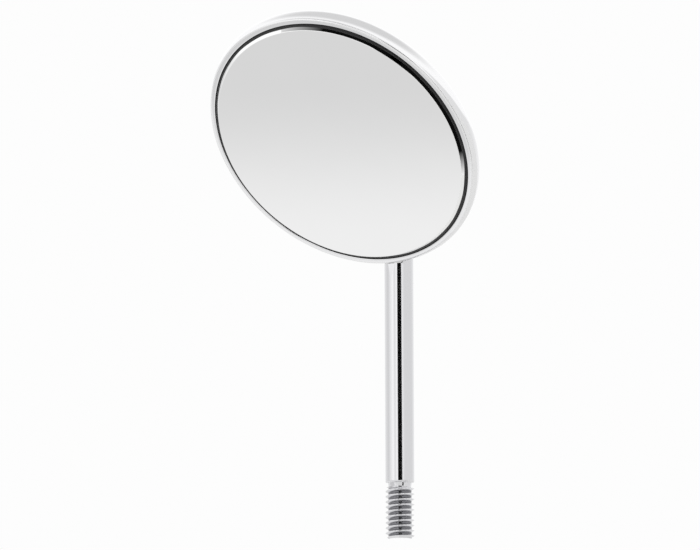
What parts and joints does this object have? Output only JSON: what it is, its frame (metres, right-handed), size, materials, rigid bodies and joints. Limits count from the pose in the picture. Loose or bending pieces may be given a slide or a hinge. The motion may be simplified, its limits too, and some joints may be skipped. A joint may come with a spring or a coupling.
{
  "type": "mouth mirror head",
  "caption": "Screw-in mouth mirror head: round bevelled front-surface mirror in a rolled metal cup, brazed at a slant to a straight round stem with a threaded end.",
  "frame": {"origin": "middle of the flat end of the threaded tip", "axes": "+Z along the stem towards the head, the mirror facing -Y and down, X across the mirror"},
  "size_m": [0.025, 0.0179, 0.0436],
  "materials": {
    "polished_stainless": "mirror-polished stainless steel",
    "ground_stainless": "centreless ground and polished stainless steel",
    "mirror_glass": "clear polished float glass",
    "mirror_film": "vacuum-deposited rhodium, front surface",
    "lacquer": "matt dark grey protective lacquer",
    "pad": "soft grey silicone sheet",
    "sealant": "black cured sealant",
    "braze": "silver braze, dressed and polished"
  },
  "bodies": {
    "root": {"mirror_cup": "polished_stainless", "mirror_glass": "mirror_glass", "mirror_film": "mirror_film", "backing_lacquer": "lacquer", "bedding_pad": "pad", "edge_seal": "sealant", "threaded_stem": "ground_stainless", "braze_fillet": "braze"}
  },
  "joints": []
}
